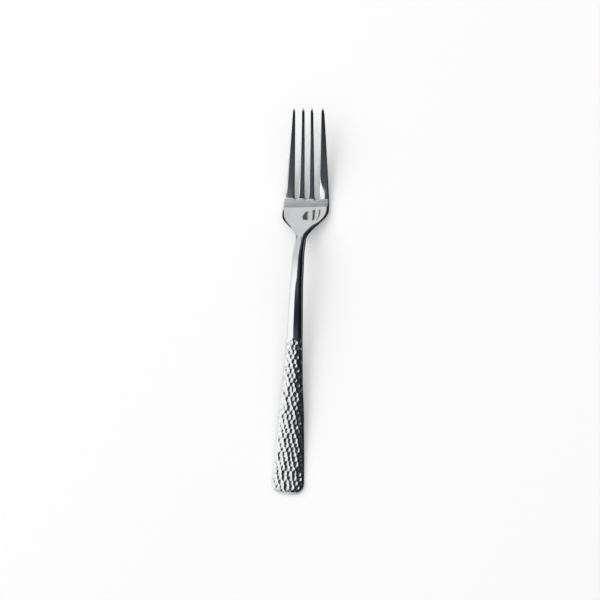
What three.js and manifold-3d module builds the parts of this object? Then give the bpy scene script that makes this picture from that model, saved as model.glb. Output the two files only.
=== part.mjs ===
// A table fork in polished stainless steel with a hammered handle, lying face up on a table.
// Millimetres: x runs across the fork, y from the handle end to the tine tips, z up from the table.
// The real fork is one forging. The meshes are the zones that a maker names on it, one behind the
// other, and they meet face to face on planes square to y.
import * as THREE from "three";
import { mergeVertices } from "three/addons/utils/BufferGeometryUtils.js";
import Module from "manifold-3d";

const { lerp, smoothstep, seededRandom } = THREE.MathUtils;

// Lengths of the zones
const HANDLE_LENGTH = 82;
const NECK_LENGTH = 53;
const PALM_LENGTH = 24;
const TINE_LENGTH = 46;

// Outline from above
const HANDLE_END_WIDTH = 18.1;
const HANDLE_TOP_WIDTH = 9.1;
const NECK_WIDTH = 6;
const HEAD_WIDTH = 25.4;
const TIP_SPAN = 17.2;
const SHOULDER_LENGTH = 15.5;
const SIDE_BLEND = 6;
const END_ROUND = 6.5;
const END_SQUARENESS = 2.8;
const SLOT_WIDTH = 2.6;
const INNER_TINE_WIDTH = 2.9;
const INNER_TIP_SPACING = 4.8;
const TINE_TIP_WIDTH = 1.2;
const TINE_TIP_ROUND = 1.3;
const INNER_TINE_TAPER = 1.5;

// Heights from the side
const REST_LENGTH = 10;
const REST_BLEND = 10;
const HANDLE_SLOPE = 0.09;
const CREST_HEIGHT = 10.4;
const CREST_TO_PALM = 11;
const BELLY_TO_ROOT = 5.5;
const BELLY_FLAT_DEPTH = 0.06;
const ROOT_BEND = 6;
const ROOT_SLOPE = 0.17;
const TIP_RISE = 12.2;

// Sections: the edge height is where the section is widest, above its back
const HANDLE_END_THICKNESS = 2.8;
const HANDLE_TOP_THICKNESS = 3.6;
const NECK_THICKNESS = 4.4;
const PALM_THICKNESS = 2.2;
const TINE_TIP_THICKNESS = 1.2;
const HANDLE_EDGE_HEIGHT = 1;
const NECK_EDGE_HEIGHT = 1.9;
const END_RIM = 2;
const PALM_DISH = 0.6;

// How flat a section's top is: 2 is an ellipse, more is a slab with rounded edges
const HANDLE_POWER = 2;
const NECK_POWER = 2.4;
const PALM_POWER = 4;
const TINE_POWER = 8;

// Hammer blows, in rows across the handle from the neck to its end, each row set over from the last
// by a share of the pitch, so that the rows lie like bricks near the neck and in slanting files below
const BLOW_TOP_PITCH = 2.4;
const BLOW_END_PITCH = 2.65;
const BLOW_ROW_PITCH = 2.45;
const BLOW_TOP_SHIFT = 0.43;
const BLOW_END_SHIFT = 0.24;
const BLOW_WIDTH = 3;
const BLOW_LENGTH = 4.6;
const BLOW_DEPTH = 0.45;
const BLOW_SCATTER = 0.35;
const BLOW_UNEVENNESS = 0.2;
const BLOW_SEED = 1;
const BLOW_FADE = 1.2;
const BLOW_EDGE_POWER = 8;

// Facets
const HANDLE_COLUMNS = 26;
const HANDLE_ROWS = 92;
const END_ROWS = 20;
const RING_STEPS = 12;
const PALM_RING_STEPS = 18;
const TINE_RING_STEPS = 8;
const NECK_RINGS = 14;
const PALM_RINGS = 20;
const TINE_RINGS = 16;
const TIP_RINGS = 4;
const TIP_TURN = 75;
const SLOT_SEGMENTS = 12;
const WELD = 1e-4;

// Places along the fork that the sizes lead to
const palmStart = HANDLE_LENGTH + NECK_LENGTH;
const rootAt = palmStart + PALM_LENGTH;
const tipAt = rootAt + TINE_LENGTH;
const crestAt = palmStart - CREST_TO_PALM;
const shoulderEnd = palmStart + SHOULDER_LENGTH;
const bellyAt = rootAt - BELLY_TO_ROOT;

// Rise of a line that starts level and bends over a length into a slope of one
function bend(run, blend) {
  if (run <= 0) return 0;
  return run < blend ? (run * run) / (2 * blend) : run - blend / 2;
}

// Half the fork's width: a tapering handle and neck, S-shaped shoulders, then sides that lean in
function halfWidth(y) {
  if (y <= HANDLE_LENGTH) return lerp(HANDLE_END_WIDTH, HANDLE_TOP_WIDTH, y / HANDLE_LENGTH) / 2;
  const neck = lerp(HANDLE_TOP_WIDTH, NECK_WIDTH, Math.min(1, (y - HANDLE_LENGTH) / NECK_LENGTH)) / 2;
  const lean = (HEAD_WIDTH - TIP_SPAN) / 2 / bend(tipAt - shoulderEnd, SIDE_BLEND);
  const side = HEAD_WIDTH / 2 - lean * bend(y - shoulderEnd, SIDE_BLEND);
  return lerp(neck, side, smoothstep(y, palmStart, shoulderEnd));
}

// Height of the fork's back: a flat to rest on, a straight handle, the crest of the neck,
// the belly that also touches the table, and tines that turn up at their roots and sweep on up
function backLine(y) {
  if (y <= HANDLE_LENGTH) return HANDLE_SLOPE * bend(y - REST_LENGTH, REST_BLEND);
  if (y <= crestAt) {
    const start = backLine(HANDLE_LENGTH);
    const span = crestAt - HANDLE_LENGTH;
    const t = (y - HANDLE_LENGTH) / span;
    return lerp(start, CREST_HEIGHT, smoothstep(t, 0, 1)) + HANDLE_SLOPE * span * t * (1 - t) ** 2;
  }
  if (y <= bellyAt) return lerp(CREST_HEIGHT, -BELLY_FLAT_DEPTH, smoothstep(y, crestAt, bellyAt));
  const run = y - bellyAt;
  const reach = tipAt - bellyAt;
  const sweep = TIP_RISE - ROOT_SLOPE * bend(reach, ROOT_BEND);
  return ROOT_SLOPE * bend(run, ROOT_BEND) + sweep * (run / reach) ** 2 - BELLY_FLAT_DEPTH;
}

// How far the palm is dished: its edges stand higher than its middle, and the tines are level
function dish(x, y) {
  const dished = smoothstep(y, palmStart, shoulderEnd) * (1 - smoothstep(y, shoulderEnd, rootAt));
  return PALM_DISH * dished * (x / halfWidth(y)) ** 2;
}

// Thickness, edge height and flatness of the section at y
function sectionAt(y) {
  const section = { left: -halfWidth(y), right: halfWidth(y), lift: 0 };
  const toCrest = Math.max(0, (y - HANDLE_LENGTH) / (crestAt - HANDLE_LENGTH));
  const toSlab = smoothstep(y, crestAt, shoulderEnd);
  const stem = y <= HANDLE_LENGTH
    ? lerp(HANDLE_END_THICKNESS, HANDLE_TOP_THICKNESS, y / HANDLE_LENGTH)
    : lerp(HANDLE_TOP_THICKNESS, NECK_THICKNESS, Math.min(1, toCrest));
  const stemEdge = lerp(HANDLE_EDGE_HEIGHT, NECK_EDGE_HEIGHT, Math.min(1, toCrest));
  const towardsTip = Math.max(0, (y - rootAt) / TINE_LENGTH);
  const slab = lerp(PALM_THICKNESS, TINE_TIP_THICKNESS, towardsTip);
  section.thickness = lerp(stem, slab, toSlab);
  section.edge = lerp(stemEdge, slab / 2, toSlab);
  const stemPower = lerp(HANDLE_POWER, NECK_POWER, Math.min(1, toCrest));
  const slabPower = lerp(PALM_POWER, TINE_POWER, smoothstep(y, bellyAt, rootAt));
  section.power = lerp(stemPower, slabPower, toSlab);
  return section;
}

// Height of the upper skin above the back, with across from -1 at one edge to 1 at the other
function upperSkin(across, section) {
  const crown = (1 - Math.abs(across) ** section.power) ** (1 / section.power);
  return section.edge + (section.thickness - section.edge) * crown;
}

// Height of the lower skin above the back: flat, with rounded corners up to the edges
function lowerSkin(across, section) {
  const half = (section.right - section.left) / 2;
  const corner = Math.min(section.edge, half);
  const past = Math.max(0, Math.abs(across) * half - (half - corner)) / corner;
  return section.edge * (1 - Math.sqrt(Math.max(0, 1 - past * past)));
}

// Closed outline of a section, over the top from its right edge and back along the underside,
// which is flat where the belly lies on the table
function ring(y, section, steps) {
  const middle = (section.left + section.right) / 2;
  const half = (section.right - section.left) / 2;
  const points = [];
  for (let k = 0; k < 2 * steps; k++) {
    const across = Math.cos((Math.PI * k) / steps);
    const x = middle + half * across;
    const skin = k <= steps ? upperSkin(across, section) : lowerSkin(across, section);
    const height = Math.max(0, backLine(y) + dish(x, y) + section.lift + skin);
    points.push(new THREE.Vector3(x, y, height));
  }
  return points;
}

// Triangles between two rows of as many points
function strip(near, far) {
  const faces = [];
  for (let i = 0; i + 1 < near.length; i++) {
    faces.push([near[i], far[i], far[i + 1]]);
    faces.push([near[i], far[i + 1], near[i + 1]]);
  }
  return faces;
}

// Flat face over a ring, in rungs from its lower to its upper skin, facing -y or, at a zone's far end, +y
function cap(outline, facesTips) {
  const steps = outline.length / 2;
  const upper = outline.slice(0, steps + 1);
  const lower = [outline[0], ...outline.slice(steps).reverse()];
  const faces = strip(lower, upper).slice(1, -1);
  return facesTips ? faces.map((face) => face.reverse()) : faces;
}

// One closed geometry from triangles that share their corners
function weld(faces) {
  return mergeVertices(new THREE.BufferGeometry().setFromPoints(faces.flat()), WELD);
}

// Closed loft through rings in order from the handle towards the tips
function loft(rings) {
  const faces = cap(rings[0], false);
  for (let i = 0; i + 1 < rings.length; i++) {
    faces.push(...strip([...rings[i], rings[i][0]], [...rings[i + 1], rings[i + 1][0]]));
  }
  faces.push(...cap(rings.at(-1), true));
  return weld(faces);
}

// Hammer blows, each struck a little off its place in its row, with more or less force
function hammerBlows() {
  const blows = [];
  const rows = Math.ceil(HANDLE_LENGTH / BLOW_ROW_PITCH);
  const astray = (most) => most * (2 * seededRandom() - 1);
  seededRandom(BLOW_SEED);
  let setOver = 0;
  for (let row = 0; row <= rows; row++) {
    const pitch = lerp(BLOW_TOP_PITCH, BLOW_END_PITCH, row / rows);
    const y = HANDLE_LENGTH - row * BLOW_ROW_PITCH;
    const reach = Math.ceil(HANDLE_END_WIDTH / 2 / pitch);
    for (let file = -reach; file <= reach; file++) {
      const x = (file + setOver) * pitch + astray(BLOW_SCATTER);
      blows.push({ x, y: y + astray(BLOW_SCATTER), force: 1 + astray(BLOW_UNEVENNESS) });
    }
    setOver = (setOver + lerp(BLOW_TOP_SHIFT, BLOW_END_SHIFT, row / rows)) % 1;
  }
  return blows;
}

const blows = hammerBlows();

// Depth of the oval dish that the deepest blow left at a point of the handle
function dishDepth(x, y) {
  const shares = blows.map((blow) => {
    const acrossBlow = (x - blow.x) / (BLOW_WIDTH / 2);
    const alongBlow = (y - blow.y) / (BLOW_LENGTH / 2);
    return blow.force - acrossBlow ** 2 - alongBlow ** 2;
  });
  return BLOW_DEPTH * Math.max(0, ...shares);
}

// Even steps from -1 to 1, or 0 to 1, drawn a little closer together towards 1 and -1
const closeAtEdges = (t) => (t + Math.sin((t * Math.PI) / 2)) / 2;

// Point of the handle's upper skin: across it from edge to edge, and in from its rounded end
function handlePoint(x, y, across, fromEnd) {
  const section = sectionAt(y);
  const intoRim = Math.max(0, 1 - fromEnd / END_RIM);
  const rim = Math.sqrt(1 - intoRim * intoRim);
  const crown = (upperSkin(across, section) - section.edge) * rim;
  const struck = (1 - across ** BLOW_EDGE_POWER) * rim * smoothstep(HANDLE_LENGTH - y, 0, BLOW_FADE);
  const height = section.edge + crown - struck * dishDepth(x, y);
  return new THREE.Vector3(x, y, backLine(y) + height);
}

// Rows of points over the handle's top: straight rows from the neck, then rows that bow out
// until the last one follows the rounded end
function handleRows() {
  const rows = [];
  const straightTo = 2 * END_ROUND;
  const columns = [];
  for (let i = 0; i <= HANDLE_COLUMNS; i++) columns.push(closeAtEdges((2 * i) / HANDLE_COLUMNS - 1));
  for (let r = 0; r <= HANDLE_ROWS; r++) {
    const y = lerp(HANDLE_LENGTH, straightTo, r / HANDLE_ROWS);
    rows.push(columns.map((across) => handlePoint(across * halfWidth(y), y, across, y)));
  }
  for (let r = 1; r <= END_ROWS; r++) {
    const share = closeAtEdges(r / END_ROWS);
    rows.push(columns.map((across) => {
      const bow = 1 - (1 - Math.abs(across) ** END_SQUARENESS) ** (1 / END_SQUARENESS);
      const endY = END_ROUND * bow;
      const y = lerp(straightTo, endY, share);
      const half = lerp(halfWidth(straightTo), halfWidth(END_ROUND), share);
      return handlePoint(across * half, y, across, y - endY);
    }));
  }
  return rows;
}

// Handle: hammered crowned top, rounded lower edge and a plain flat back
function handleGeometry() {
  const rows = handleRows();
  const last = rows.at(-1);
  const faces = [];
  for (let r = 0; r + 1 < rows.length; r++) faces.push(...strip(rows[r], rows[r + 1]));

  // The rim from the neck down one side, round the end and up the other side
  const leftRim = rows.map((row) => row[0]);
  const rightRim = rows.map((row) => row.at(-1)).reverse();
  const rim = [...leftRim, ...last.slice(1, -1), ...rightRim];
  const outward = rim.map((point) => {
    const intoEnd = Math.max(0, 1 - point.y / END_ROUND) ** (END_SQUARENESS - 1) / END_ROUND;
    const half = halfWidth(END_ROUND);
    const toSide = Math.min(1, Math.abs(point.x) / half) ** (END_SQUARENESS - 1) / half;
    return new THREE.Vector3(Math.sign(point.x) * toSide, -intoEnd, 0).normalize();
  });
  const lowered = (turn) => rim.map((point, k) => {
    const inset = HANDLE_EDGE_HEIGHT * (1 - Math.cos(turn));
    const moved = point.clone().addScaledVector(outward[k], -inset);
    moved.z = backLine(moved.y) + HANDLE_EDGE_HEIGHT * (1 - Math.sin(turn));
    return moved;
  });
  const corner = lowered(Math.PI / 4);
  const backEdge = lowered(Math.PI / 2);
  faces.push(...strip(rim, corner), ...strip(corner, backEdge));

  // The flat back, in rungs from side to side and a last triangle at the middle of the end
  const middle = (backEdge.length - 1) / 2;
  const rung = (k) => [backEdge.at(-1 - k), backEdge[k]];
  for (let k = 0; k + 1 < middle; k++) faces.push(...strip(rung(k), rung(k + 1)));
  const [right, left] = rung(middle - 1);
  faces.push([right, backEdge[middle], left]);

  // The face towards the neck
  const neckFace = [...rows[0]].reverse();
  neckFace.push(corner[0], backEdge[0], backEdge.at(-1), corner.at(-1));
  const flat = neckFace.map((point) => new THREE.Vector2(point.x, point.z));
  for (const face of THREE.ShapeUtils.triangulateShape(flat, [])) {
    faces.push(face.reverse().map((index) => neckFace[index]));
  }
  return weld(faces);
}

function neckGeometry() {
  const rings = [];
  for (let i = 0; i <= NECK_RINGS; i++) {
    const y = lerp(HANDLE_LENGTH, palmStart, i / NECK_RINGS);
    rings.push(ring(y, sectionAt(y), RING_STEPS));
  }
  return loft(rings);
}

const wasm = await Module();
wasm.setup();

function toSolid(geometry) {
  const bare = geometry.clone();
  bare.deleteAttribute("normal");
  bare.deleteAttribute("uv");
  const merged = mergeVertices(bare, WELD);
  const vertProperties = merged.attributes.position.array;
  const triVerts = new Uint32Array(merged.index.array);
  return new wasm.Manifold(new wasm.Mesh({ numProp: 3, vertProperties, triVerts }));
}

function toGeometry(solid) {
  const mesh = solid.getMesh();
  const geometry = new THREE.BufferGeometry();
  geometry.setAttribute("position", new THREE.BufferAttribute(mesh.vertProperties, 3));
  return geometry.setIndex(new THREE.BufferAttribute(mesh.triVerts, 1));
}

// Cutter for the round bottom of a slot, open past the root plane
function slotCutter(x) {
  const outline = new THREE.Shape();
  const radius = SLOT_WIDTH / 2;
  outline.absarc(x, rootAt, radius, Math.PI, 2 * Math.PI);
  outline.lineTo(x + radius, rootAt + radius);
  outline.lineTo(x - radius, rootAt + radius);
  const depth = 2 * (PALM_THICKNESS + PALM_DISH);
  const options = { depth, bevelEnabled: false, curveSegments: SLOT_SEGMENTS };
  const cutter = new THREE.ExtrudeGeometry(outline, options);
  return cutter.translate(0, 0, backLine(rootAt) - depth / 4);
}

// Palm: the dished body between the shoulders, with three slots begun in its front edge
function palmGeometry() {
  const rings = [];
  for (let i = 0; i <= PALM_RINGS; i++) {
    const y = lerp(palmStart, rootAt, i / PALM_RINGS);
    rings.push(ring(y, sectionAt(y), PALM_RING_STEPS));
  }
  let palm = toSolid(loft(rings));
  for (const slot of [-1, 0, 1]) {
    palm = palm.subtract(toSolid(slotCutter(slot * (SLOT_WIDTH + INNER_TINE_WIDTH))));
  }
  return toGeometry(palm);
}

// Edges of a tine on the right half: the outer one has the head's side as its outer edge
function tineEdges(inner, y) {
  const towardsTip = (y - rootAt) / TINE_LENGTH;
  if (inner) {
    const middle = lerp((SLOT_WIDTH + INNER_TINE_WIDTH) / 2, INNER_TIP_SPACING / 2, towardsTip);
    const swell = Math.max(0, 1 - towardsTip) ** INNER_TINE_TAPER;
    const half = lerp(TINE_TIP_WIDTH, INNER_TINE_WIDTH, swell) / 2;
    return [middle - half, middle + half];
  }
  const rootEdge = 1.5 * SLOT_WIDTH + INNER_TINE_WIDTH;
  const tipEdge = TIP_SPAN / 2 - TINE_TIP_WIDTH;
  return [lerp(rootEdge, tipEdge, towardsTip), halfWidth(y)];
}

// Section of a tine, drawn in by share of its size at the rounded tip
function tineSection(side, inner, y, share) {
  const [near, far] = tineEdges(inner, y);
  const middle = (near + far) / 2;
  const half = ((far - near) / 2) * share;
  const section = sectionAt(y);
  section.lift = (section.thickness * (1 - share)) / 2;
  section.thickness *= share;
  section.edge *= share;
  section.left = side * middle - half;
  section.right = side * middle + half;
  return section;
}

// Tine: tapered in width and thickness, swept up, with a rounded tip
function tineGeometry(side, inner) {
  const rings = [];
  const roundFrom = tipAt - TINE_TIP_ROUND;
  for (let i = 0; i <= TINE_RINGS; i++) {
    const y = lerp(rootAt, roundFrom, i / TINE_RINGS);
    rings.push(ring(y, tineSection(side, inner, y, 1), TINE_RING_STEPS));
  }
  const mostTurn = THREE.MathUtils.degToRad(TIP_TURN);
  for (let i = 1; i <= TIP_RINGS; i++) {
    const turn = (mostTurn * i) / TIP_RINGS;
    const y = lerp(roundFrom, tipAt, Math.sin(turn) / Math.sin(mostTurn));
    rings.push(ring(y, tineSection(side, inner, y, Math.cos(turn)), TINE_RING_STEPS));
  }
  return loft(rings);
}

// Stainless steel: mirror polished, or a little duller where the hammer struck it
function steel(roughness) {
  return new THREE.MeshStandardMaterial({ color: 0xc9ccd0, metalness: 1, roughness });
}

const POLISHED = 0.08;
const HAMMERED = 0.16;
const fork = new THREE.Group();
function addZone(name, geometry, roughness) {
  const zone = new THREE.Mesh(geometry, steel(roughness));
  zone.name = name;
  fork.add(zone);
}

addZone("handle", handleGeometry(), HAMMERED);
addZone("neck", neckGeometry(), POLISHED);
addZone("palm", palmGeometry(), POLISHED);
addZone("tine_1", tineGeometry(-1, false), POLISHED);
addZone("tine_2", tineGeometry(-1, true), POLISHED);
addZone("tine_3", tineGeometry(1, true), POLISHED);
addZone("tine_4", tineGeometry(1, false), POLISHED);

// The origin is on the table, under the middle of the fork
fork.position.y = -tipAt / 2;

export default fork;
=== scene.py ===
import math

import bpy
import numpy as np
from mathutils import Matrix, Vector


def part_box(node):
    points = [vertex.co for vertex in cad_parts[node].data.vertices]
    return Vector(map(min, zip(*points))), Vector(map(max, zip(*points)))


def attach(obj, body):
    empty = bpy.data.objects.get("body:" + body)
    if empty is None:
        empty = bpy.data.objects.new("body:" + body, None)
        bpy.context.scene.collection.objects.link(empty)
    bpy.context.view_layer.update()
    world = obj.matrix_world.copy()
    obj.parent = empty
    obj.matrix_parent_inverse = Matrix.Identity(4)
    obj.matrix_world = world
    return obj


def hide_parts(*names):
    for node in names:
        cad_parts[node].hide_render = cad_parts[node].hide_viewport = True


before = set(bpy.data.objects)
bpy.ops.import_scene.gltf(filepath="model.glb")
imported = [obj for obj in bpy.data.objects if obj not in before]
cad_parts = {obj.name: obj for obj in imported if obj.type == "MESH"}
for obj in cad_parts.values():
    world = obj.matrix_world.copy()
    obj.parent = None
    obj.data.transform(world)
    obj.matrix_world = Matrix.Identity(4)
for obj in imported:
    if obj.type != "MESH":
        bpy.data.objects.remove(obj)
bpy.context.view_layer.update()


# Handle: the grip of a fork forged in one piece from stainless steel, widest at its rounded end.
# The crowned top is struck all over with a round-nosed hammer, row by row from the neck, and then
# polished. The back stays plain, with a flat to lie on.
MM = 0.001
GRIP_END_WIDTH = 18.1 * MM
GRIP_TOP_WIDTH = 9.1 * MM
END_ROUND = 6.5 * MM
END_SQUARENESS = 2.8
END_RIM = 3.2 * MM
GRIP_END_THICKNESS = 2.8 * MM
GRIP_TOP_THICKNESS = 3.6 * MM
GRIP_EDGE = 1.0 * MM
GRIP_EDGE_CORNER = 4
GRIP_CROWN = 2.4
GRIP_SLOPE = 0.09
REST_LENGTH = 10 * MM
REST_BLEND = 10 * MM
STEM_HOLLOW = 0.52 * MM
HOLLOW_BEGINS = (42 * MM, 60 * MM)
HOLLOW_HALVES = (108 * MM, 122 * MM)
HOLLOW_ENDS = (141 * MM, 150 * MM)

BLOW_TOP_PITCH = 2.4 * MM
BLOW_END_PITCH = 2.65 * MM
BLOW_ROW_PITCH = 2.45 * MM
BLOW_TOP_SHIFT = 0.43
BLOW_END_SHIFT = 0.24
BLOW_SCATTER = 0.42 * MM
BLOW_WIDTH = 3.0 * MM
BLOW_LENGTH = 4.4 * MM
BLOW_DEPTH = 0.42 * MM
BLOW_UNEVEN = 0.2
BLOW_FADE = 2.4 * MM
BLOW_EDGE_POWER = 12
BLOW_SEED = 1
RIDGE_SHARPNESS = 22
GRIP_FILES = 96
GRIP_ROWS = 360
MERGE_DISTANCE = 0.001 * MM
SMOOTH_ANGLE = math.radians(50)

grip_low, grip_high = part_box("handle")
grip_length = grip_high.y - grip_low.y


def ease(value, start, end):
    share = np.clip((value - start) / (end - start), 0, 1)
    return share * share * (3 - 2 * share)


def bend(run, blend):
    curved = np.clip(run, 0, None) ** 2 / (2 * blend)
    return np.where(run < blend, curved, run - blend / 2)


def grip_half_width(s):
    return np.interp(s, [0, grip_length], [GRIP_END_WIDTH, GRIP_TOP_WIDTH]) / 2


def right_hollow(s):
    begun = ease(s, *HOLLOW_BEGINS)
    ended = ease(s, *HOLLOW_HALVES) + ease(s, *HOLLOW_ENDS)
    return STEM_HOLLOW * (begun - ended / 2)


def grip_back(s):
    return GRIP_SLOPE * bend(s - REST_LENGTH, REST_BLEND)


def hammer_blows():
    chance = np.random.default_rng(BLOW_SEED)
    rows = math.ceil(grip_length / BLOW_ROW_PITCH)
    places = []
    set_over = 0.0
    for row in range(rows + 1):
        towards_end = row / rows
        pitch = BLOW_TOP_PITCH + (BLOW_END_PITCH - BLOW_TOP_PITCH) * towards_end
        reach = math.ceil(GRIP_END_WIDTH / 2 / pitch)
        for file in range(-reach, reach + 1):
            astray = chance.uniform(-1, 1, 3) * (BLOW_SCATTER, BLOW_SCATTER, BLOW_UNEVEN)
            place = ((file + set_over) * pitch, grip_length - row * BLOW_ROW_PITCH, 1)
            places.append(place + astray)
        shift = BLOW_TOP_SHIFT + (BLOW_END_SHIFT - BLOW_TOP_SHIFT) * towards_end
        set_over = (set_over + shift) % 1
    return np.array(places)


def struck_share(x, s):
    soft = np.full(len(x), -np.inf)
    for blow_x, blow_s, force in hammer_blows():
        bowl = force - (2 * (x - blow_x) / BLOW_WIDTH) ** 2 - (2 * (s - blow_s) / BLOW_LENGTH) ** 2
        soft = np.logaddexp(soft, RIDGE_SHARPNESS * bowl)
    return np.clip(soft / RIDGE_SHARPNESS, 0, None)


def read_points(piece):
    points = np.empty(len(piece.data.vertices) * 3)
    piece.data.vertices.foreach_get("co", points)
    return points.reshape(-1, 3)


def set_points(piece, x, y, z):
    piece.data.vertices.foreach_set("co", np.stack([x, y, z], 1).ravel())
    piece.data.update()


bpy.ops.object.select_all(action="DESELECT")
bpy.ops.mesh.primitive_grid_add(x_subdivisions=GRIP_FILES, y_subdivisions=GRIP_ROWS, size=2)
handle = bpy.context.object
handle.name = "hammered_handle"
bpy.ops.object.mode_set(mode="EDIT")
bpy.ops.mesh.select_all(action="SELECT")
bpy.ops.mesh.extrude_region_move(TRANSFORM_OT_translate={"value": (0, 0, -1)})
bpy.ops.object.mode_set(mode="OBJECT")

strip = read_points(handle)
is_top = strip[:, 2] > -0.5
across = (strip[:, 0] + np.sin(strip[:, 0] * math.pi / 2)) / 2
straight_to = 2 * END_ROUND
from_neck = (1 - strip[:, 1]) / 2 * grip_length
level = grip_length - from_neck
into_end = np.clip(1 - level / straight_to, 0, 1)
into_end = (into_end + np.sin(into_end * math.pi / 2)) / 2
level = np.where(level < straight_to, straight_to * (1 - into_end), level)
bow = 1 - np.clip(1 - np.abs(across) ** END_SQUARENESS, 0, 1) ** (1 / END_SQUARENESS)
end_line = END_ROUND * bow
s = level + end_line * into_end
half = grip_half_width(np.maximum(level, END_ROUND + level / 2)) - right_hollow(s) * (across > 0)
x = across * half
from_end = np.where(into_end > 0, s - end_line, END_RIM)

thickness = np.interp(s, [0, grip_length], [GRIP_END_THICKNESS, GRIP_TOP_THICKNESS])
rim = np.sqrt(1 - np.clip(1 - from_end / END_RIM, 0, 1) ** 2)
rounded = np.clip(1 - np.abs(across) ** GRIP_CROWN, 0, 1) ** (1 / GRIP_CROWN)
crown = (thickness - GRIP_EDGE) * rounded * rim
struck = (1 - across ** BLOW_EDGE_POWER) * ease(from_end, 0, END_RIM) * struck_share(x, s)
struck = struck * ease(grip_length - s, 0, BLOW_FADE)
top = GRIP_EDGE + crown - BLOW_DEPTH * struck
side_inset = 1 - np.clip((1 - np.abs(across)) * half / GRIP_EDGE, 0, 1)
end_inset = 1 - np.clip(from_end / GRIP_EDGE, 0, 1)
inset = (side_inset ** GRIP_EDGE_CORNER + end_inset ** GRIP_EDGE_CORNER) ** (1 / GRIP_EDGE_CORNER)
under = GRIP_EDGE * (1 - np.sqrt(1 - np.minimum(1, inset) ** 2))
set_points(handle, x, grip_low.y + s, grip_back(s) + np.where(is_top, top, under))
struck_mark = handle.data.attributes.new("struck", "FLOAT", "POINT")
struck_mark.data.foreach_set("value", np.where(is_top, struck, 0))

bpy.ops.object.mode_set(mode="EDIT")
bpy.ops.mesh.select_all(action="SELECT")
bpy.ops.mesh.remove_doubles(threshold=MERGE_DISTANCE)
bpy.ops.mesh.normals_make_consistent(inside=False)
bpy.ops.object.mode_set(mode="OBJECT")
bpy.ops.object.shade_smooth_by_angle(angle=SMOOTH_ANGLE)


# Steel finish: the fork is polished on soft wheels, which leave very fine lines along its length,
# and handling adds faint smears and hair scratches. The group gives all of these to both finishes.
CLEAN_STEEL = (0.66, 0.665, 0.675, 1)
SMEARED_STEEL = (0.62, 0.625, 0.63, 1)
WHEEL_LINE_STRETCH = (1, 0.03, 1)
WHEEL_LINE_SCALE = 6000
WHEEL_LINE_DULLS = 0.4
WHEEL_LINE_DEPTH = 0.02 * MM
WHEEL_LINE_STRENGTH = 0.05
SMEAR_STRETCH = (1, 0.6, 1)
SMEAR_SCALE = 90
SMEAR_EDGE = (0.42, 0.72)
SMEAR_DULLS = 0.6
HAIR_STRETCH = (1, 0.35, 1)
HAIR_TURN = (0.2, 0.3, 0.5)
HAIR_SCALE = 420
HAIR_WIDTH = 0.012
HAIR_DULLS = 0.5
MIX_FIRST_COLOUR = 6
MIX_SECOND_COLOUR = 7
MIX_COLOUR_RESULT = 2


def add_node(tree, kind, **values):
    node = tree.nodes.new(kind)
    for name, value in values.items():
        setattr(node, name, value)
    return node


def feed(tree, socket, source):
    if isinstance(source, bpy.types.NodeSocket):
        tree.links.new(source, socket)
    else:
        socket.default_value = source


def noise(tree, place, stretch, scale, detail=2):
    mapped = add_node(tree, "ShaderNodeMapping")
    feed(tree, mapped.inputs["Vector"], place)
    feed(tree, mapped.inputs["Scale"], stretch)
    cloud = add_node(tree, "ShaderNodeTexNoise")
    feed(tree, cloud.inputs["Vector"], mapped.outputs["Vector"])
    feed(tree, cloud.inputs["Scale"], scale)
    feed(tree, cloud.inputs["Detail"], detail)
    return cloud.outputs["Fac"]


def ramp(tree, value, low, high, start=0.0, end=1.0, smooth=False):
    node = add_node(tree, "ShaderNodeMapRange", clamp=True)
    node.interpolation_type = "SMOOTHSTEP" if smooth else "LINEAR"
    for name, source in (("Value", value), ("From Min", low), ("From Max", high),
                         ("To Min", start), ("To Max", end)):
        feed(tree, node.inputs[name], source)
    return node.outputs["Result"]


def compute(tree, operation, *sources):
    node = add_node(tree, "ShaderNodeMath", operation=operation)
    for socket, source in zip(node.inputs, sources):
        feed(tree, socket, source)
    return node.outputs["Value"]


def mix_colour(tree, share, first, second):
    node = add_node(tree, "ShaderNodeMix", data_type="RGBA")
    feed(tree, node.inputs["Factor"], share)
    feed(tree, node.inputs[MIX_FIRST_COLOUR], first)
    feed(tree, node.inputs[MIX_SECOND_COLOUR], second)
    return node.outputs[MIX_COLOUR_RESULT]


marks = bpy.data.node_groups.new("Polishing marks", "ShaderNodeTree")
marks.interface.new_socket("Place", in_out="INPUT", socket_type="NodeSocketVector")
for socket_name in ("Least Roughness", "Most Roughness"):
    marks.interface.new_socket(socket_name, in_out="INPUT", socket_type="NodeSocketFloat")
for socket_name in ("Roughness", "Smear", "Lines"):
    marks.interface.new_socket(socket_name, in_out="OUTPUT", socket_type="NodeSocketFloat")
marks_in = add_node(marks, "NodeGroupInput")
marks_out = add_node(marks, "NodeGroupOutput")
place = marks_in.outputs["Place"]
wheel_lines = noise(marks, place, WHEEL_LINE_STRETCH, WHEEL_LINE_SCALE)
smear_cloud = noise(marks, place, SMEAR_STRETCH, SMEAR_SCALE, detail=4)
smear = ramp(marks, smear_cloud, *SMEAR_EDGE, smooth=True)
hair_place = add_node(marks, "ShaderNodeMapping")
feed(marks, hair_place.inputs["Vector"], place)
feed(marks, hair_place.inputs["Scale"], HAIR_STRETCH)
feed(marks, hair_place.inputs["Rotation"], HAIR_TURN)
hair_cells = add_node(marks, "ShaderNodeTexVoronoi", feature="DISTANCE_TO_EDGE")
feed(marks, hair_cells.inputs["Vector"], hair_place.outputs["Vector"])
feed(marks, hair_cells.inputs["Scale"], HAIR_SCALE)
hairs = ramp(marks, hair_cells.outputs["Distance"], 0.0, HAIR_WIDTH, 1, 0)
hairs = compute(marks, "MULTIPLY", hairs, smear)
dullness = compute(marks, "ADD", compute(marks, "MULTIPLY", smear, SMEAR_DULLS),
                   compute(marks, "MULTIPLY", wheel_lines, WHEEL_LINE_DULLS))
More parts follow.
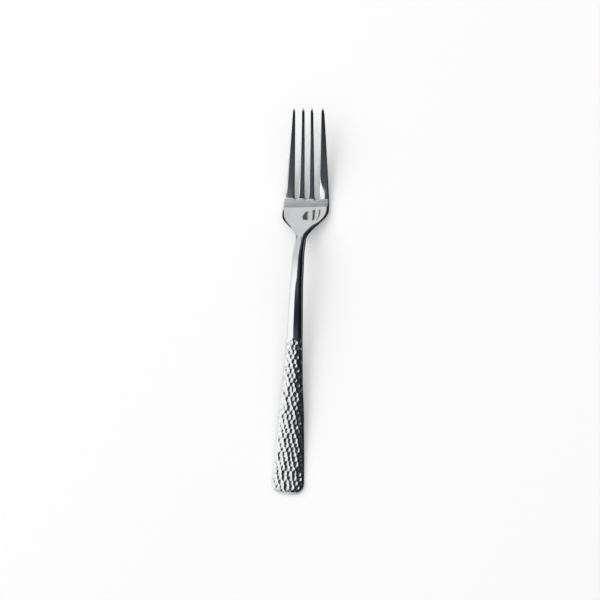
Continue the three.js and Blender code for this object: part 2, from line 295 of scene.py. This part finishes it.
dullness = compute(marks, "ADD", dullness, compute(marks, "MULTIPLY", hairs, HAIR_DULLS))
least_roughness = marks_in.outputs["Least Roughness"]
most_roughness = marks_in.outputs["Most Roughness"]
feed(marks, marks_out.inputs["Roughness"],
     ramp(marks, dullness, 0, 1, least_roughness, most_roughness))
feed(marks, marks_out.inputs["Smear"], smear)
feed(marks, marks_out.inputs["Lines"], compute(marks, "SUBTRACT", wheel_lines, hairs))


def steel_finish(name, least, most, dull_part, dull_roughness):
    finish = bpy.data.materials.new(name)
    finish.use_nodes = True
    tree = finish.node_tree
    shader = tree.nodes["Principled BSDF"]
    shader.inputs["Metallic"].default_value = 1.0
    group = add_node(tree, "ShaderNodeGroup", node_tree=marks)
    spot = add_node(tree, "ShaderNodeTexCoord")
    feed(tree, group.inputs["Place"], spot.outputs["Object"])
    feed(tree, group.inputs["Least Roughness"], least)
    feed(tree, group.inputs["Most Roughness"], most)
    dull, dull_colour = dull_part(tree, spot.outputs["Object"])
    colour = mix_colour(tree, group.outputs["Smear"], CLEAN_STEEL, SMEARED_STEEL)
    feed(tree, shader.inputs["Base Color"], mix_colour(tree, dull, colour, dull_colour))
    dulled = compute(tree, "MULTIPLY", dull, dull_roughness)
    roughness = compute(tree, "MAXIMUM", group.outputs["Roughness"], dulled)
    feed(tree, shader.inputs["Roughness"], roughness)
    relief = add_node(tree, "ShaderNodeBump")
    feed(tree, relief.inputs["Strength"], WHEEL_LINE_STRENGTH)
    feed(tree, relief.inputs["Distance"], WHEEL_LINE_DEPTH)
    feed(tree, relief.inputs["Height"], group.outputs["Lines"])
    feed(tree, shader.inputs["Normal"], relief.outputs["Normal"])
    return finish


# Handle's finish: the polishing wheel rides on the ridges between the hammer blows and hardly
# reaches their floors, which stay a little greyer, cloudier and duller.
BLOW_FLOOR_STEEL = (0.6, 0.605, 0.61, 1)
BLOW_FLOOR_EDGE = (0.5, 1.0)
BLOW_FLOOR_ROUGHNESS = 0.22
BLOW_CLOUD_SCALE = 700
HAMMERED_LEAST = 0.12
HAMMERED_MOST = 0.2


def blow_floors(tree, place):
    deep = add_node(tree, "ShaderNodeAttribute", attribute_name="struck")
    cloudy = noise(tree, place, (1, 1, 1), BLOW_CLOUD_SCALE)
    colour = mix_colour(tree, cloudy, BLOW_FLOOR_STEEL, CLEAN_STEEL)
    return ramp(tree, deep.outputs["Fac"], *BLOW_FLOOR_EDGE, smooth=True), colour


hammered_steel = steel_finish("hammered_steel", HAMMERED_LEAST, HAMMERED_MOST,
                              blow_floors, BLOW_FLOOR_ROUGHNESS)
handle.data.materials.append(hammered_steel)
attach(handle, "root")
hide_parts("handle")


# Blank of neck and head: a slim stem that arches over a crest, spreads into the dished palm and is
# slotted into four tapering tines. It is cut flat from the same steel, slotted, thickened and
# pressed to its curve, and its edges are rounded by polishing.
NECK_WIDTH = 6.0 * MM
HEAD_WIDTH = 25.4 * MM
TIP_SPAN = 17.2 * MM
SHOULDER_LENGTH = 15.5 * MM
LEFT_SHOULDER_LENGTH = 13.5 * MM
RIGHT_SHOULDER_LENGTH = 17 * MM
SIDE_BLEND = 6 * MM
TINES = 4
SLOT_WIDTH = 2.45 * MM
INNER_TINE_WIDTH = 3.0 * MM
INNER_TIP_SPACING = 4.7 * MM
INNER_TIP_SWAY = -0.4 * MM
TINE_TIP_WIDTH = 1.45 * MM
TINE_TIP_ROUND = 1.3 * MM
INNER_TINE_TAPER = 1.5
FIRST_TINE_TRIM = 0.8 * MM
TRIM_LENGTH = 4.5 * MM
TRIM_TIP_SHARE = 0.4
CREST_HEIGHT = 10.4 * MM
CREST_TO_PALM = 11 * MM
BELLY_TO_ROOT = 5.5 * MM
ROOT_BEND = 3.5 * MM
ROOT_SLOPE = 0.185
TIP_RISE = 12.2 * MM
NECK_THICKNESS = 4.4 * MM
NECK_EDGE = 1.9 * MM
PALM_THICKNESS = 2.2 * MM
TINE_TIP_THICKNESS = 1.2 * MM
PALM_DISH = 0.6 * MM
NECK_CROWN = 2.4
PALM_CROWN = 5.0
CROWN_FROM = 7 * MM
TINE_CROWN = 20.0
EDGE_SHARE = 0.98
RIM_ACROSS = 0.999
PALM_RIM_SHARE = 0.35
TINE_RIM_SHARE = 0.2
TIP_TURN = math.radians(75)
LAST_TINE_ROLL = 0.25 * MM
LAST_TINE_ROLL_SHARE = 0.6
LAST_TINE_ROLL_TO = 0.28
NOTCH_CORNER = 0.6 * MM
NOTCH_DEEPER = 0.15 * MM

PALM_LINES = (0, 0.12, 0.3, 0.7, 0.88, 1)
TINE_LINES = (0, 0.03, 0.09, 0.91, 0.97, 1)
LAST_TINE_LINES = (0, 0.28, 0.58, 0.91, 0.97, 1)
LAST_LINE = len(TINE_LINES) - 1
MID_SLOT_LINE = LAST_LINE + 1
LINES_PER_TINE = MID_SLOT_LINE + 1
NECK_LAP = 4 * MM
NECK_ROWS = 31
PALM_ROWS = 19
TINE_ROWS = 23
TIP_ROWS = np.array([0.35, 0.7, 1])
SAME_PLACE = 0.01 * MM
ROUNDING_LEVELS = 2

palm_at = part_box("palm")[0].y - grip_low.y
root_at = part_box("tine_1")[0].y - grip_low.y
tip_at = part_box("tine_1")[1].y - grip_low.y
crest_at = palm_at - CREST_TO_PALM
shoulder_at = palm_at + SHOULDER_LENGTH
belly_at = root_at - BELLY_TO_ROOT
notch_at = root_at - SLOT_WIDTH / 2
round_at = tip_at - TINE_TIP_ROUND


def blend(first, second, share):
    return first + (second - first) * share


def half_width(s, shoulder_length=SHOULDER_LENGTH):
    stem = np.interp(s, [grip_length, palm_at], [GRIP_TOP_WIDTH, NECK_WIDTH]) / 2
    stem = np.where(s < grip_length, grip_half_width(s), stem)
    lean = (HEAD_WIDTH - TIP_SPAN) / 2 / bend(tip_at - shoulder_at, SIDE_BLEND)
    side = HEAD_WIDTH / 2 - lean * bend(s - shoulder_at, SIDE_BLEND)
    return blend(stem, side, ease(s, palm_at, palm_at + shoulder_length))


def back_line(s):
    start = grip_back(grip_length)
    span = crest_at - grip_length
    t = (s - grip_length) / span
    arch = blend(start, CREST_HEIGHT, ease(t, 0, 1)) + GRIP_SLOPE * span * t * (1 - t) ** 2
    dip = CREST_HEIGHT * (1 - ease(s, crest_at, belly_at))
    run, reach = s - belly_at, tip_at - belly_at
    left_over = TIP_RISE - ROOT_SLOPE * bend(reach, ROOT_BEND)
    sweep = ROOT_SLOPE * bend(run, ROOT_BEND) + left_over * (run / reach) ** 2
    zones = [s < grip_length, s < crest_at, s < belly_at]
    return np.select(zones, [grip_back(s), arch, dip], sweep)


def tine_edges(tine, s):
    towards_tip = np.clip((s - root_at) / (tip_at - root_at), 0, 1)
    if tine in (0, TINES - 1):
        root_near = 1.5 * SLOT_WIDTH + INNER_TINE_WIDTH
        near = blend(root_near, TIP_SPAN / 2 - TINE_TIP_WIDTH, towards_tip)
        far = half_width(s)
        sway = 0
    else:
        root_middle = (SLOT_WIDTH + INNER_TINE_WIDTH) / 2
        middle = blend(root_middle, INNER_TIP_SPACING / 2, towards_tip)
        width = blend(TINE_TIP_WIDTH, INNER_TINE_WIDTH, (1 - towards_tip) ** INNER_TINE_TAPER)
        near, far = middle - width / 2, middle + width / 2
        sway = INNER_TIP_SWAY * towards_tip ** 2
    if tine == 0:
        begun = ease(s, root_at, root_at + TRIM_LENGTH)
        far = far - FIRST_TINE_TRIM * begun * blend(1, TRIM_TIP_SHARE, towards_tip)
    if tine < TINES / 2:
        return sway - far, sway - near
    return near + sway, far + sway


tip_turns = np.sin(TIP_TURN * TIP_ROWS) / math.sin(TIP_TURN)
rows = np.concatenate([
    np.linspace(grip_length - NECK_LAP, palm_at, NECK_ROWS),
    np.linspace(palm_at, notch_at, PALM_ROWS)[1:],
    np.linspace(notch_at, round_at, TINE_ROWS)[1:],
    round_at + TINE_TIP_ROUND * tip_turns,
])
notch_row = int(np.argmin(np.abs(rows - notch_at)))
lines = TINES * LINES_PER_TINE - 1

bpy.ops.object.select_all(action="DESELECT")
bpy.ops.mesh.primitive_grid_add(x_subdivisions=lines - 1, y_subdivisions=len(rows) - 1, size=2)
blank = bpy.context.object
blank.name = "blank"
bpy.ops.object.mode_set(mode="EDIT")
bpy.ops.mesh.select_mode(type="FACE")
bpy.ops.mesh.select_all(action="DESELECT")
bpy.ops.object.mode_set(mode="OBJECT")
for face in blank.data.polygons:
    column = math.floor((face.center.x + 1) / 2 * (lines - 1))
    row = math.floor((face.center.y + 1) / 2 * (len(rows) - 1))
    face.select = column % LINES_PER_TINE >= LAST_LINE and row >= notch_row
bpy.ops.object.mode_set(mode="EDIT")
bpy.ops.mesh.delete(type="FACE")
bpy.ops.mesh.select_all(action="SELECT")
bpy.ops.mesh.extrude_region_move(TRANSFORM_OT_translate={"value": (0, 0, -1)})
bpy.ops.mesh.select_all(action="SELECT")
bpy.ops.mesh.normals_make_consistent(inside=False)
bpy.ops.object.mode_set(mode="OBJECT")

plate = read_points(blank)
is_top = plate[:, 2] > -0.5
line = np.rint((plate[:, 0] + 1) / 2 * (lines - 1)).astype(int)
of_tine, line_in_tine = np.divmod(line, LINES_PER_TINE)
s = rows[np.rint((plate[:, 1] + 1) / 2 * (len(rows) - 1)).astype(int)]


def edge_of_each(side, s):
    edges = [tine_edges(tine, s)[side] for tine in range(TINES)]
    return np.select([of_tine == tine for tine in range(TINES)], edges)


in_tine = s > notch_at + SAME_PLACE
to_root = ease(s, shoulder_at, notch_at)
towards_tip = np.clip((s - root_at) / (tip_at - root_at), 0, 1)
palm_share, tine_share, last_share = (
    np.array(places + (1,))[line_in_tine] for places in (PALM_LINES, TINE_LINES, LAST_TINE_LINES))
rolled_root = (of_tine == TINES - 1) * (1 - ease(towards_tip, 0, LAST_TINE_ROLL_TO))
share = blend(palm_share, blend(tine_share, last_share, rolled_root), to_root)
left, right = edge_of_each(0, s), edge_of_each(1, s)
at_root = np.full(len(s), root_at)
root_left, root_right = edge_of_each(0, at_root), edge_of_each(1, at_root)
mid_slot = line_in_tine == MID_SLOT_LINE
spread = (blend(root_left, root_right, share) + mid_slot * SLOT_WIDTH / 2) / half_width(at_root)
at_notch = (np.abs(s - notch_at) < SAME_PLACE) & (line > 0) & (line < lines - 1)
at_corner = np.isin(line_in_tine, (0, LAST_LINE))
s = s + at_notch * (at_corner * NOTCH_CORNER - mid_slot * NOTCH_DEEPER)

to_crest = ease(s, grip_length, crest_at)
to_slab = ease(s, crest_at, shoulder_at)
stem = np.interp(s, [0, grip_length, crest_at],
                 [GRIP_END_THICKNESS, GRIP_TOP_THICKNESS, NECK_THICKNESS])
stem_edge = np.interp(s, [grip_length, crest_at], [GRIP_EDGE, NECK_EDGE])
slab = blend(PALM_THICKNESS, TINE_TIP_THICKNESS, towards_tip)
past_round = np.clip(s - round_at, 0, None) / TINE_TIP_ROUND
tip_share = np.sqrt(1 - (past_round * math.sin(TIP_TURN)) ** 2)
thickness = blend(stem, slab, to_slab)
edge = blend(stem_edge, slab / 2, to_slab)
power = blend(GRIP_CROWN, NECK_CROWN, to_crest)
power = blend(power, PALM_CROWN, ease(s, palm_at + CROWN_FROM, shoulder_at))
power = blend(power, TINE_CROWN, ease(s, belly_at, notch_at))
left_half = half_width(s, LEFT_SHOULDER_LENGTH)
right_half = half_width(s, RIGHT_SHOULDER_LENGTH) - right_hollow(s)
palm_half = np.where(plate[:, 0] < 0, left_half, right_half)
half = np.where(in_tine, (right - left) / 2, palm_half)
middle = np.where(in_tine, (right + left) / 2, 0)
across = np.where(in_tine, 2 * share - 1, spread)
x = middle + across * half * tip_share
rolled = np.abs(across) * EDGE_SHARE
top = edge + (thickness - edge) * (1 - rolled ** power) ** (1 / power)
on_rim = np.abs(across) > RIM_ACROSS
rim_share = blend(PALM_RIM_SHARE, TINE_RIM_SHARE, to_root)
rim_top = np.minimum(top, blend(top, thickness * (1 - rim_share), to_slab))
top = np.where(on_rim, rim_top, top)
rolled_off = np.clip(1 - share / LAST_TINE_ROLL_SHARE, 0, 1) * rolled_root * in_tine
top = top - LAST_TINE_ROLL * rolled_off
corner = np.minimum(edge, half)
past = np.clip(rolled * half - (half - corner), 0, None) / corner
under = edge * (1 - np.sqrt(1 - past ** 2))
dished = ease(s, palm_at, shoulder_at) * (1 - ease(s, shoulder_at, root_at))
dish = PALM_DISH * dished * (x / palm_half) ** 2
lift = thickness / 2 + (np.where(is_top, top, under) - thickness / 2) * tip_share
set_points(blank, x, grip_low.y + s, back_line(s) + dish + lift)
rounding = blank.modifiers.new("polished rounding", "SUBSURF")
rounding.levels = ROUNDING_LEVELS
rounding.render_levels = ROUNDING_LEVELS
bpy.ops.object.modifier_apply(modifier=rounding.name)


# Neck, palm and tines: the zones of the blank, cut apart on planes square to its length. All are
# mirror polished, and a satin band is left across the palm at the tine roots, brushed from side to
# side. Its colour carries painted light, paler towards the tines, and painted shade, darker to the
# right.
SATIN_LENGTH = 4.6 * MM
SATIN_SLANT = 0.055
SATIN_FADE = 0.2 * MM
SATIN_LIGHT = (0.88, 0.9, 0.905, 1)
SATIN_DARK = (0.46, 0.47, 0.475, 1)
SATIN_STRETCH = (0.04, 1, 1)
SATIN_SCALE = 2500
SATIN_LINES = (0.3, 0.7)
SATIN_PAINTED_LIGHT = (-0.3, 0.45)
SATIN_PAINTED_SHADE = 0.42
SATIN_PALEST = 1.2
SATIN_ROUGHNESS = 0.42
POLISHED_LEAST = 0.03
POLISHED_MOST = 0.09

palm_y = grip_low.y + palm_at
root_y = grip_low.y + root_at
past_tips = grip_low.y + tip_at + MM
satin_to = grip_low.y + notch_at
satin_from = satin_to - SATIN_LENGTH


def cut_zone(start, end):
    bpy.ops.object.select_all(action="DESELECT")
    blank.select_set(True)
    bpy.context.view_layer.objects.active = blank
    bpy.ops.object.duplicate()
    zone = bpy.context.object
    bpy.ops.object.mode_set(mode="EDIT")
    for place, keep_far in ((start, True), (end, False)):
        bpy.ops.mesh.select_all(action="SELECT")
        bpy.ops.mesh.bisect(plane_co=(0, place, 0), plane_no=(0, 1, 0), use_fill=True,
                            clear_inner=keep_far, clear_outer=not keep_far)
    bpy.ops.object.mode_set(mode="OBJECT")
    return zone


def satin_band(tree, place):
    along = add_node(tree, "ShaderNodeSeparateXYZ")
    feed(tree, along.inputs[0], place)
    slant = compute(tree, "MULTIPLY", along.outputs["X"], SATIN_SLANT)
    past_start = compute(tree, "SUBTRACT", along.outputs["Y"], slant)
    begun = ramp(tree, past_start, satin_from, satin_from + SATIN_FADE)
    ended = ramp(tree, along.outputs["Y"], satin_to, satin_to + SATIN_FADE, 1, 0)
    brushed = noise(tree, place, SATIN_STRETCH, SATIN_SCALE)
    # painted light: the band's colour is made paler towards the tines
    painted_light_to_tines = ramp(tree, along.outputs["Y"], satin_from, satin_to, *SATIN_PAINTED_LIGHT)
    tone = compute(tree, "ADD", ramp(tree, brushed, *SATIN_LINES), painted_light_to_tines)
    # painted shade: the band's colour is made darker towards the right, away from the window
    painted_right_shade = ramp(tree, along.outputs["X"], -HEAD_WIDTH / 2, HEAD_WIDTH / 2, 0, SATIN_PAINTED_SHADE)
    tone = compute(tree, "SUBTRACT", tone, painted_right_shade)
    colour = mix_colour(tree, ramp(tree, tone, 0.0, SATIN_PALEST), SATIN_DARK, SATIN_LIGHT)
    return compute(tree, "MULTIPLY", begun, ended), colour


polished_steel = steel_finish("polished_steel", POLISHED_LEAST, POLISHED_MOST,
                              satin_band, SATIN_ROUGHNESS)
neck = cut_zone(grip_high.y, palm_y)
neck.name = "neck_stem"
palm = cut_zone(palm_y, root_y)
palm.name = "dished_palm"
cut_zone(root_y, past_tips)
bpy.ops.object.mode_set(mode="EDIT")
bpy.ops.mesh.select_all(action="SELECT")
bpy.ops.mesh.separate(type="LOOSE")
bpy.ops.object.mode_set(mode="OBJECT")
tines = sorted(bpy.context.selected_objects, key=lambda tine: read_points(tine)[:, 0].mean())
bpy.data.objects.remove(blank)
zones = [(neck, "neck"), (palm, "palm")]
for number, tine in enumerate(tines, 1):
    tine.name = f"polished_tine_{number}"
    zones.append((tine, f"tine_{number}"))
for piece, node in zones:
    piece.data.materials.clear()
    piece.data.materials.append(polished_steel)
    bpy.ops.object.select_all(action="DESELECT")
    piece.select_set(True)
    bpy.context.view_layer.objects.active = piece
    bpy.ops.object.shade_smooth_by_angle(angle=SMOOTH_ANGLE)
    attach(piece, "root")
    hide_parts(node)


# Table: a plain white sheet under the fork, wide enough for every view.
# It is fully matt, so it shows the fork's shadow and mirrors nothing.
TABLE_SIZE = 8
TABLE_DROP = 0.05 * MM
TABLE_WHITE = (0.95, 0.95, 0.95, 1)
bpy.ops.object.select_all(action="DESELECT")
bpy.ops.mesh.primitive_plane_add(size=TABLE_SIZE, location=(0, 0, -TABLE_DROP))
table = bpy.context.object
table.name = "table"
white = bpy.data.materials.new("white_table")
white.use_nodes = True
shader = white.node_tree.nodes["Principled BSDF"]
shader.inputs["Base Color"].default_value = TABLE_WHITE
shader.inputs["Roughness"].default_value = 1
shader.inputs["Specular IOR Level"].default_value = 0
table.data.materials.append(white)


# Light tent: a dome that only the steel mirrors. It is white on the far and left sides, where a
# window would be, dark overhead and to the right, where the photographer stands, and pale low down
# on the near side.
TENT_RADIUS = 3.0
ROOM_NEAR = (0.014, 0.017, 0.022, 1)
ROOM_OVERHEAD = (0.083, 0.094, 0.112, 1)
ROOM_RIGHT = (0.008, 0.009, 0.014, 1)
NEAR_WALL = (0.85, 0.85, 0.85, 1)
LOW_WALL = (0.55, 0.55, 0.55, 1)
WINDOW_LEFT = (1.4, 1.4, 1.38, 1)
WINDOW_FAR = (0.885, 0.9, 0.89, 1)
SEEN_BY_TABLE = (0.9, 0.9, 0.9, 1)

# Each edge is where the change starts and ends, along a direction of length 1 to the right, far or up.
ROOM_OVERHEAD_EDGE = (-0.25, -0.17)
ROOM_RIGHT_EDGE = (0.0, 0.5)
NEAR_WALL_EDGE = (-0.68, -0.58)
NEAR_WALL_RIGHT = (-0.05, 0.1)
LOW_WALL_EDGE = (-0.5, -0.32)
LOW_WALL_TOP = (0.3, 0.42)
WINDOW_EDGE = (-0.02, 0.02)
WINDOW_NEAR_END = (-0.62, -0.5)
WINDOW_FAR_EDGE = (-0.15, 0.2)
WINDOW_STEP = (-0.2, -0.1)
WINDOW_STEP_RIGHT = (-0.31, -0.19)
WINDOW_LEAN = (-0.1, 0.6)
WINDOW_LEAN_RIGHT = (0.0, 0.13)


def only_mirrored(thing):
    thing.visible_camera = False
    thing.visible_diffuse = False
    thing.visible_shadow = False


bpy.ops.object.select_all(action="DESELECT")
bpy.ops.mesh.primitive_uv_sphere_add(segments=64, ring_count=32, radius=TENT_RADIUS)
tent = bpy.context.object
tent.name = "light_tent"
bpy.ops.object.mode_set(mode="EDIT")
bpy.ops.mesh.select_all(action="SELECT")
bpy.ops.mesh.bisect(plane_co=(0, 0, -MM), plane_no=(0, 0, 1), clear_inner=True)
bpy.ops.object.mode_set(mode="OBJECT")
only_mirrored(tent)
cloth = bpy.data.materials.new("tent_cloth")
cloth.use_nodes = True
tree = cloth.node_tree
tree.nodes.clear()
spot = add_node(tree, "ShaderNodeTexCoord")
aim = add_node(tree, "ShaderNodeVectorMath", operation="NORMALIZE")
feed(tree, aim.inputs[0], spot.outputs["Object"])
split = add_node(tree, "ShaderNodeSeparateXYZ")
feed(tree, split.inputs[0], aim.outputs["Vector"])
to_right, to_far, to_top = split.outputs["X"], split.outputs["Y"], split.outputs["Z"]
overhead = ramp(tree, to_far, *ROOM_OVERHEAD_EDGE, smooth=True)
room = mix_colour(tree, overhead, ROOM_NEAR, ROOM_OVERHEAD)
room = mix_colour(tree, ramp(tree, to_right, *ROOM_RIGHT_EDGE, smooth=True), room, ROOM_RIGHT)
low_wall = compute(tree, "MULTIPLY", ramp(tree, to_top, *LOW_WALL_TOP, 1, 0, smooth=True),
                   ramp(tree, to_far, *LOW_WALL_EDGE, 1, 0, smooth=True))
room = mix_colour(tree, low_wall, room, LOW_WALL)
near_wall = compute(tree, "MULTIPLY", ramp(tree, to_far, *NEAR_WALL_EDGE, 1, 0, smooth=True),
                    ramp(tree, to_right, *NEAR_WALL_RIGHT, 1, 0, smooth=True))
room = mix_colour(tree, near_wall, room, NEAR_WALL)
window_right = compute(tree, "ADD", ramp(tree, to_far, *WINDOW_STEP, *WINDOW_STEP_RIGHT),
                       ramp(tree, to_far, *WINDOW_LEAN, *WINDOW_LEAN_RIGHT))
in_window = compute(tree, "SUBTRACT", window_right, to_right)
lit = compute(tree, "MULTIPLY", ramp(tree, in_window, *WINDOW_EDGE, smooth=True),
              ramp(tree, to_far, *WINDOW_NEAR_END, smooth=True))
far_window = ramp(tree, to_far, *WINDOW_FAR_EDGE, smooth=True)
window = mix_colour(tree, far_window, WINDOW_LEFT, WINDOW_FAR)
path = add_node(tree, "ShaderNodeLightPath")
from_table = compute(tree, "MINIMUM", path.outputs["Diffuse Depth"], 1)
cloth_colour = mix_colour(tree, lit, room, window)
glow = add_node(tree, "ShaderNodeEmission")
feed(tree, glow.inputs["Color"], mix_colour(tree, from_table, cloth_colour, SEEN_BY_TABLE))
output = add_node(tree, "ShaderNodeOutputMaterial")
feed(tree, output.inputs["Surface"], glow.outputs["Emission"])
tent.data.materials.append(cloth)


# Black cards: two flags that stand at the left, one close beside the shoulder and one beside the
# tines. Only the steel mirrors them, as the dark edges of the palm and the first tine. Each is given
# by its place across, its near and far end and its heights there.
BLACK_GLOW = 0.012
cards = (
    ("shoulder_card", -13.5 * MM, 42 * MM, 49.5 * MM, 11 * MM, 13.5 * MM),
    ("tine_card", -16 * MM, 64 * MM, 92 * MM, 12 * MM, 12 * MM),
)


def matt_paint(name, glow):
    paint = bpy.data.materials.new(name)
    paint.use_nodes = True
    tree = paint.node_tree
    shader = tree.nodes["Principled BSDF"]
    shader.inputs["Base Color"].default_value = (0.0, 0.0, 0.0, 1)
    shader.inputs["Roughness"].default_value = 1
    shader.inputs["Specular IOR Level"].default_value = 0
    shader.inputs["Emission Color"].default_value = (glow, glow, glow, 1)
    shader.inputs["Emission Strength"].default_value = 1
    path = add_node(tree, "ShaderNodeLightPath")
    feed(tree, shader.inputs["Alpha"], ramp(tree, path.outputs["Diffuse Depth"], 0, 1, 1, 0))
    return paint


card_paint = matt_paint("black_card", BLACK_GLOW)
for name, card_left, card_from, card_to, near_height, far_height in cards:
    bpy.ops.object.select_all(action="DESELECT")
    bpy.ops.mesh.primitive_plane_add(size=2)
    card = bpy.context.object
    card.name = name
    corners = read_points(card)
    far_end, upper = corners[:, 0] > 0, corners[:, 1] > 0
    card_x = np.full(len(corners), card_left)
    card_y = np.where(far_end, card_to, card_from)
    set_points(card, card_x, card_y, upper * np.where(far_end, far_height, near_height))
    card.data.materials.append(card_paint)
    only_mirrored(card)


# Black sheet: painted shade, a dark sheet on the table at the fork's right side and under the tines,
# where the fork's shadow lies. Only the steel mirrors it, as the dark outline of its right edges.
SHEET_LEFT = -17 * MM
SHEET_RIGHT = 90 * MM
SHEET_HALF_LENGTH = 104 * MM
SHEET_LEVEL = 0.1 * MM
RIGHT_PART_EDGE = (0, 2 * MM)
TINE_PART_LEFT = (-9 * MM, -7.5 * MM)
TINE_PART_NEAR = (50 * MM, 54 * MM)
bpy.ops.object.select_all(action="DESELECT")
bpy.ops.mesh.primitive_plane_add(size=2)
sheet = bpy.context.object
sheet.name = "painted_shade_sheet"
corners = read_points(sheet)
sheet_x = np.where(corners[:, 0] > 0, SHEET_RIGHT, SHEET_LEFT)
set_points(sheet, sheet_x, corners[:, 1] * SHEET_HALF_LENGTH, corners[:, 2] + SHEET_LEVEL)
shade_paint = matt_paint("painted_shade_paint", BLACK_GLOW)
tree = shade_paint.node_tree
spot = add_node(tree, "ShaderNodeTexCoord")
split = add_node(tree, "ShaderNodeSeparateXYZ")
feed(tree, split.inputs[0], spot.outputs["Object"])
to_right, to_far = split.outputs["X"], split.outputs["Y"]
under_tines = compute(tree, "MULTIPLY", ramp(tree, to_right, *TINE_PART_LEFT),
                      ramp(tree, to_far, *TINE_PART_NEAR))
covered = compute(tree, "MAXIMUM", ramp(tree, to_right, *RIGHT_PART_EDGE), under_tines)
alpha = tree.nodes["Principled BSDF"].inputs["Alpha"]
feed(tree, alpha, compute(tree, "MULTIPLY", covered, alpha.links[0].from_socket))
sheet.data.materials.append(shade_paint)
only_mirrored(sheet)


# Window bars: dark bars over the tines, which only the steel mirrors. The dished palm draws them
# together into three dark marks; the first bar bulges, as its mark does. Each is given by its right
# edge, its middle, its length and its near, middle and far width.
BAR_LEVEL = 24 * MM
BAR_TURN = math.radians(10.4)
BAR_GLOW = 0.1
bars = (
    (-5.6 * MM, 69 * MM, 17.5 * MM, (0.8 * MM, 1.9 * MM, 1.5 * MM)),
    (-2.55 * MM, 67.6 * MM, 18 * MM, (1.1 * MM, 1.1 * MM, 1.15 * MM)),
    (0.6 * MM, 65.7 * MM, 13.5 * MM, (1.0 * MM, 1.0 * MM, 1.0 * MM)),
)
bar_paint = matt_paint("dark_bars", BAR_GLOW)
for number, (bar_right, bar_middle, bar_length, widths) in enumerate(bars, 1):
    bpy.ops.object.select_all(action="DESELECT")
    bpy.ops.mesh.primitive_grid_add(x_subdivisions=1, y_subdivisions=2, size=1,
                                    location=(bar_right, bar_middle, BAR_LEVEL))
    bar = bpy.context.object
    bar.rotation_euler.z = BAR_TURN
    bar.name = f"window_bar_{number}"
    corners = read_points(bar)
    width = np.interp(corners[:, 1], [-0.5, 0, 0.5], widths)
    set_points(bar, (corners[:, 0] - 0.5) * width, corners[:, 1] * bar_length, corners[:, 2])
    bpy.ops.object.transform_apply()
    bar.data.materials.append(bar_paint)
    only_mirrored(bar)


# Light: a wide soft window on the left throws the fork's soft shadow to the right. The white room
# fills the rest, mostly from overhead, and is plain white where it is seen or mirrored.
LAMP_WIDTH = 2.5
LAMP_LENGTH = 2.9
LAMP_POWER = 46
LAMP_PLACE = (-1.98, 1.08, 1.89)
SKY_LOW = 0.12
SKY_OVERHEAD = 0.835
SKY_EDGE = (0.1, 0.5)
window_lamp = bpy.data.lights.new("window", "AREA")
window_lamp.shape = "RECTANGLE"
window_lamp.size = LAMP_WIDTH
window_lamp.size_y = LAMP_LENGTH
window_lamp.energy = LAMP_POWER
lamp = bpy.data.objects.new("window", window_lamp)
lamp.location = LAMP_PLACE
lamp.rotation_mode = "QUATERNION"
lamp.rotation_quaternion = lamp.location.to_track_quat("Z", "Y")
lamp.visible_glossy = False
bpy.context.scene.collection.objects.link(lamp)

world = bpy.data.worlds.new("white room")
bpy.context.scene.world = world
world.use_nodes = True
tree = world.node_tree
path = add_node(tree, "ShaderNodeLightPath")
seen = compute(tree, "MAXIMUM", path.outputs["Is Camera Ray"], path.outputs["Is Glossy Ray"])
seen = compute(tree, "MAXIMUM", seen, path.outputs["Is Transmission Ray"])
aim = add_node(tree, "ShaderNodeTexCoord")
split = add_node(tree, "ShaderNodeSeparateXYZ")
feed(tree, split.inputs[0], aim.outputs["Generated"])
sky = ramp(tree, split.outputs["Z"], *SKY_EDGE, SKY_LOW, SKY_OVERHEAD)
background = tree.nodes["Background"]
feed(tree, background.inputs["Color"], (1, 1, 1, 1))
feed(tree, background.inputs["Strength"], ramp(tree, seen, 0, 1, sky, 1.0))


# Camera: looks down on the middle of the fork from a little to its right and to the handle's side,
# turned so that the fork leans in the picture as it does in the photo.
SIGHT_RIGHT = 0.2052
SIGHT_NEAR = 0.09
SIGHT_ROLL = math.radians(2.7364)
SIGHT_DISTANCE = 620 * MM
AIM_HEIGHT = 5 * MM
AIM_RIGHT = 0.82 * MM
AIM_UP = 0.19 * MM
LENS = 69.88
towards = Vector((SIGHT_RIGHT, -SIGHT_NEAR, math.sqrt(1 - SIGHT_RIGHT ** 2 - SIGHT_NEAR ** 2)))
level_right = (Vector((1, 0, 0)) - SIGHT_RIGHT * towards).normalized()
right = Matrix.Rotation(SIGHT_ROLL, 3, towards) @ level_right
up = towards.cross(right)
eye = Vector((0, 0, AIM_HEIGHT)) + AIM_RIGHT * right + AIM_UP * up + SIGHT_DISTANCE * towards
camera = bpy.data.objects.new("camera", bpy.data.cameras.new("camera"))
camera.data.lens = LENS
camera.matrix_world = Matrix.Translation(eye) @ Matrix((right, up, towards)).transposed().to_4x4()
bpy.context.scene.collection.objects.link(camera)
bpy.context.scene.camera = camera
bpy.context.scene.view_settings.view_transform = "Standard"
